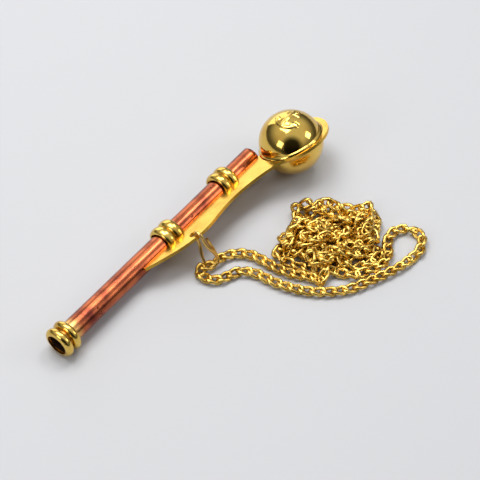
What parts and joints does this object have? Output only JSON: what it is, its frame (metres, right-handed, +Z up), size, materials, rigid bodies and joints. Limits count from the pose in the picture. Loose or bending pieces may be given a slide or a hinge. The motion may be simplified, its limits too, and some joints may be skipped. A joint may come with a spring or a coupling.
{
  "type": "boatswain pipe",
  "caption": "Boatswain pipe: copper gun tube with brass collars, flat keel, hollow ball and a split ring with a neck chain.",
  "frame": {"origin": "on the table under the middle of the pipe and its ring, without the chain", "axes": "+X along the gun tube from the mouth to the ball, +Z up, the keel and the chain towards -Y"},
  "size_m": [0.125, 0.0755, 0.0228],
  "materials": {
    "copper": "polished copper tube, a little pitted",
    "brass_keel": "rolled brass plate, polished",
    "brass_dome": "polished brass with a raised anchor",
    "brass_bowl": "polished brass",
    "brass_rings": "turned and polished brass",
    "brass_wire": "bright drawn brass wire",
    "brass_chain": "bright brass curb chain"
  },
  "bodies": {
    "pipe": {"gun_tube": "copper", "aft_ring_front": "brass_rings", "aft_ring_rear": "brass_rings", "fore_ring_front": "brass_rings", "fore_ring_rear": "brass_rings", "mouth_ring_front": "brass_rings", "mouth_ring_rear": "brass_rings", "keel_plate": "brass_keel", "buoy_upper_shell": "brass_dome", "buoy_lower_shell": "brass_bowl", "chain_front_strand": "brass_chain", "chain_heap": "brass_chain", "chain_upper_strand": "brass_chain"},
    "ring": {"split_ring": "brass_wire"}
  },
  "joints": [
    {"name": "ring_swing", "type": "hinge", "parent": "pipe", "child": "ring", "pos_m": [-0.0045, -0.00306, 0.01217], "axis": [-1, 0, 0], "range_deg": [0, 180]}
  ]
}
